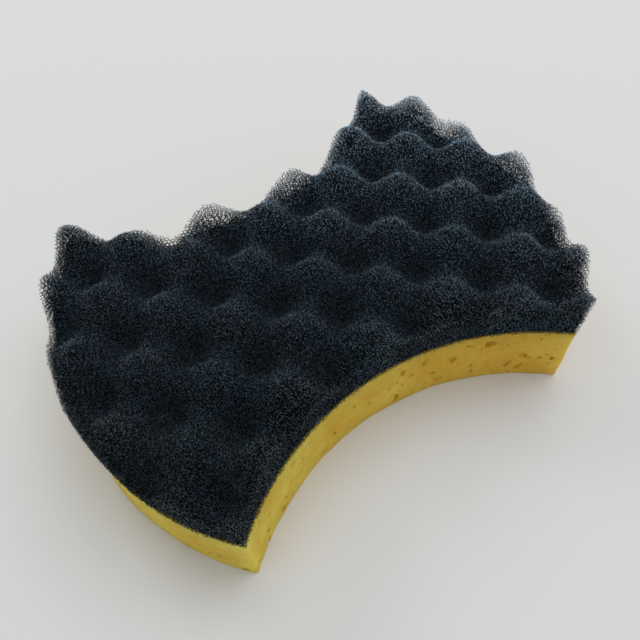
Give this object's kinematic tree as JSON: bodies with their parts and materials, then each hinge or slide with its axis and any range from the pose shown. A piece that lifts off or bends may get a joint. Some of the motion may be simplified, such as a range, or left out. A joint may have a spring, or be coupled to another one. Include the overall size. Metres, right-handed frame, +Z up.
{
  "type": "cleaning sponge",
  "caption": "Layered foam cleaning sponge in an axe-head outline: soft base foam below, open-cell egg-crate foam above, and hollow sides to grip.",
  "frame": {"origin": "on the underside, at the middle of the outline", "axes": "+X along the long axis towards one convex end, +Y across the waist, +Z up through the bumps"},
  "size_m": [0.15, 0.106, 0.04],
  "materials": {
    "base_foam": "soft matte foam",
    "eggcrate_foam": "open-cell foam net"
  },
  "bodies": {
    "root": {"base_foam": "base_foam", "eggcrate_foam": "eggcrate_foam"}
  },
  "joints": []
}
